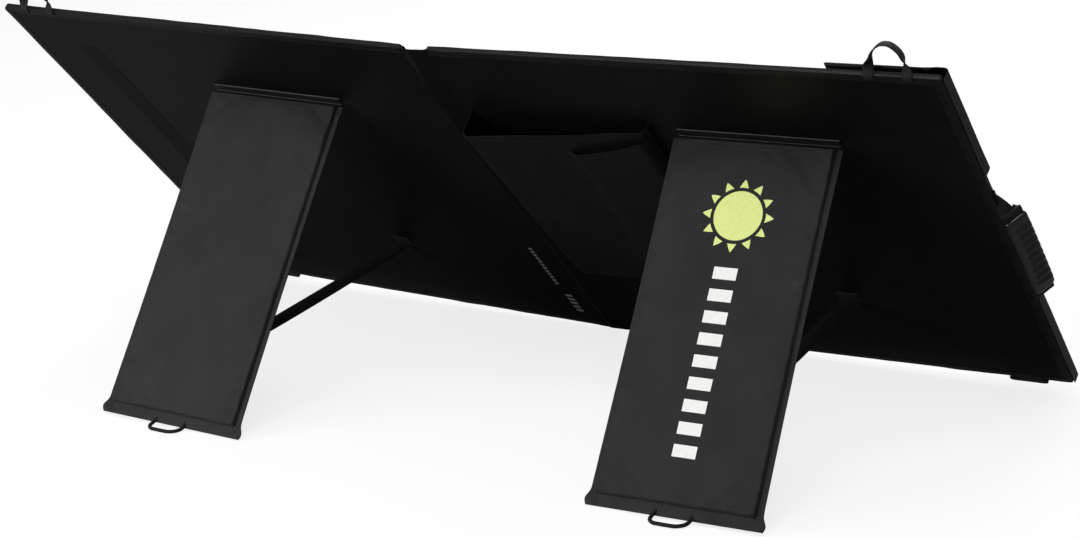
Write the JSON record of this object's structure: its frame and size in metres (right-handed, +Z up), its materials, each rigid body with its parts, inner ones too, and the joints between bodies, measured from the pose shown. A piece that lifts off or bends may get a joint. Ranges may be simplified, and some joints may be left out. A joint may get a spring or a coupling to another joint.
{
  "type": "folding solar panel",
  "caption": "Folding camping solar panel: stiff fabric-covered halves with cells in front, fold-out rear legs on limit straps, cable pocket, closing flap and carry handle.",
  "frame": {"origin": "on the ground, in the middle of the bottom hem of the fold between the halves", "axes": "+Z up, +Y towards the legs behind the panel, +X to the right for someone facing the cells"},
  "size_m": [1.1102, 0.5645, 0.4266],
  "materials": {
    "cover_fabric": "smooth coated polyester, satin black",
    "leg_fabric": "woven coated polyester, dark grey to black",
    "webbing": "ribbed polyester webbing, matt black",
    "binding_tape": "grosgrain tape, matt black",
    "hook_loop": "hook and loop tape, matt black",
    "board": "plain plastic sheet",
    "backsheet": "matt black laminate",
    "cell": "blue-black silicon",
    "ribbon": "tinned conductor",
    "front_film": "clear dimpled film",
    "housing_plastic": "moulded, matt black",
    "circuit_board": "green circuit board",
    "cable_rubber": "matt black",
    "grip_rubber": "moulded, satin black"
  },
  "bodies": {
    "left_half": {"left_back_cover": "cover_fabric", "left_stiffener_board": "board", "left_laminate_backsheet": "backsheet", "left_solar_cells": "cell", "left_cell_ribbons": "ribbon", "left_front_film": "front_film", "left_front_bezel": "cover_fabric", "left_edge_binding": "binding_tape", "left_corner_loops": "webbing", "left_leg_hinge_tape": "binding_tape", "left_strap_panel_patch": "webbing", "pocket_body": "cover_fabric", "pocket_pouch": "cover_fabric", "junction_box_base": "housing_plastic", "junction_box_lid": "housing_plastic", "diode_board": "circuit_board", "bypass_diodes": "housing_plastic", "cable_gland": "cable_rubber", "positive_cable": "cable_rubber", "negative_cable": "cable_rubber", "positive_plug": "housing_plastic", "negative_plug": "housing_plastic", "flap_hinge_tape": "binding_tape", "handle_anchor_tabs": "webbing", "fold_strip_back": "cover_fabric", "fold_strip_front": "cover_fabric", "fold_jumper_ribbons": "ribbon"},
    "right_half": {"right_back_cover": "cover_fabric", "right_stiffener_board": "board", "right_laminate_backsheet": "backsheet", "right_solar_cells": "cell", "right_cell_ribbons": "ribbon", "right_front_film": "front_film", "right_front_bezel": "cover_fabric", "right_edge_binding": "binding_tape", "right_corner_loops": "webbing", "right_leg_hinge_tape": "binding_tape", "right_strap_panel_patch": "webbing", "right_loop_tape": "hook_loop"},
    "left_leg": {"left_leg_outer_cover": "leg_fabric", "left_leg_inner_cover": "leg_fabric", "left_leg_board": "board", "left_foot_loop": "webbing", "left_strap_leg_patch": "webbing", "left_limit_strap": "webbing"},
    "right_leg": {"right_leg_outer_cover": "leg_fabric", "right_leg_inner_cover": "leg_fabric", "right_leg_board": "board", "right_foot_loop": "webbing", "right_strap_leg_patch": "webbing", "right_limit_strap": "webbing"},
    "flap_spine": {"flap_spine": "cover_fabric"},
    "flap": {"flap_inner_cover": "cover_fabric", "flap_stiffener": "board", "flap_outer_cover": "cover_fabric", "flap_hook_tape": "hook_loop"},
    "handle": {"handle_webbing": "webbing", "handle_grip": "grip_rubber"}
  },
  "joints": [
    {"name": "panel_fold", "type": "hinge", "parent": "left_half", "child": "right_half", "pos_m": [0, 0.20211, 0.20413], "axis": [0, -0.729, -0.6845], "range_deg": [-2.64, 177.36], "deforming": ["fold_strip_back", "fold_strip_front", "fold_jumper_ribbons"]},
    {"name": "left_leg_hinge", "type": "hinge", "parent": "left_half", "child": "left_leg", "pos_m": [-0.3282, 0.32428, 0.31214], "axis": [-0.9997, -0.0158, 0.0168], "range_deg": [0, 78], "deforming": ["left_limit_strap"]},
    {"name": "right_leg_hinge", "type": "hinge", "parent": "right_half", "child": "right_leg", "pos_m": [0.23322, 0.32578, 0.31055], "axis": [-0.9997, 0.0158, -0.0168], "range_deg": [0, 78], "deforming": ["right_limit_strap"]},
    {"name": "flap_spine_hinge", "type": "hinge", "parent": "left_half", "child": "flap_spine", "pos_m": [-0.54134, 0.19319, 0.21362], "axis": [0, -0.729, -0.6845], "range_deg": [0, 90]},
    {"name": "flap_bend", "type": "hinge", "parent": "flap_spine", "child": "flap", "pos_m": [-0.52735, 0.19341, 0.21339], "axis": [0, 0.729, 0.6845], "range_deg": [0, 90]},
    {"name": "handle_hinge", "type": "hinge", "parent": "left_half", "child": "handle", "pos_m": [-0.54324, 0.205, 0.21273], "axis": [0, -0.729, -0.6845], "range_deg": [-118, 42]}
  ],
  "couplings": [
    {"joint": "flap_bend", "follows": "flap_spine_hinge", "ratio": 1}
  ]
}
